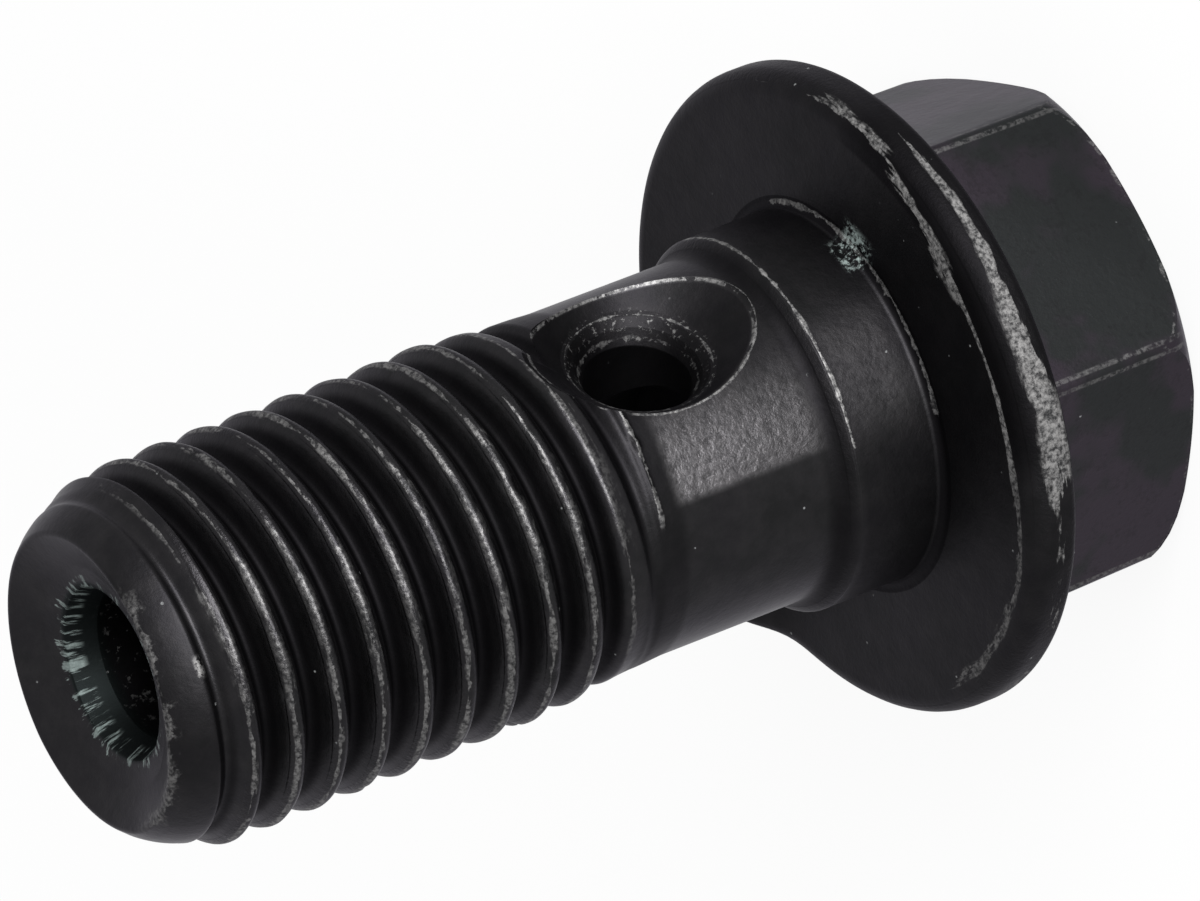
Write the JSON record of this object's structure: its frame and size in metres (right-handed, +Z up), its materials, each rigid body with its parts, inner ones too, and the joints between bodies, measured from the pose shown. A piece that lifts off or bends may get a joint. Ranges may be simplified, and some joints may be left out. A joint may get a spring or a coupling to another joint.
{
  "type": "banjo bolt",
  "caption": "Hollow flanged hexagon bolt with an axial bore and a sunk cross hole, which passes fluid into a banjo fitting.",
  "frame": {"origin": "middle of the head's flat end, where the bolt stands", "axes": "+Z up the bolt to its threaded end, +X out of the cross hole"},
  "size_m": [0.0172, 0.0172, 0.029],
  "materials": {
    "black_oxide_steel": "satin black oxide, worn to bare grey steel along thread crests and rims"
  },
  "bodies": {
    "root": {"banjo_bolt": "black_oxide_steel"}
  },
  "joints": []
}
